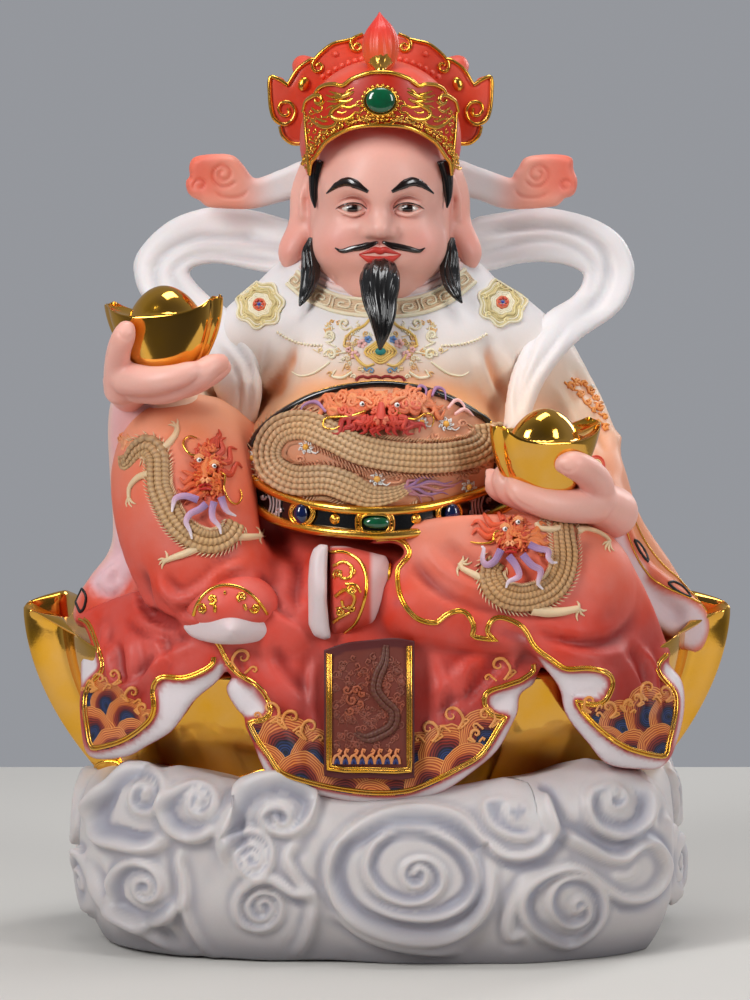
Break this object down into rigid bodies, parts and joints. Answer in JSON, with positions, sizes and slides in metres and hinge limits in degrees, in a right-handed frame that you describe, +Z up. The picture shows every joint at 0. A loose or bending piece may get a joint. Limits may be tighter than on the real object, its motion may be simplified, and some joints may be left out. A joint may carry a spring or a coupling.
{
  "type": "seated wealth figure on a cloud base",
  "caption": "Seated wealth figure in a winged court hat, holding an ingot in each hand, cast with its ingot seat and cloud base",
  "frame": {"origin": "the middle of the flat underside of the cloud base", "axes": "+Z up, the figure looks along -Y, its left hand is at +X"},
  "size_m": [0.332, 0.2056, 0.43],
  "materials": {
    "painted_resin": "hand painted marble resin, satin lacquer",
    "gold_plate": "polished gold plate",
    "green_stone": "polished cabochon",
    "blue_stone": "polished cabochon"
  },
  "bodies": {
    "root": {"casting": "painted_resin", "right_hand_ingot": "gold_plate", "left_hand_ingot": "gold_plate", "hat_stone": "green_stone", "belt_stone_centre": "green_stone", "belt_stone_right": "blue_stone", "belt_stone_left": "blue_stone"}
  },
  "joints": []
}
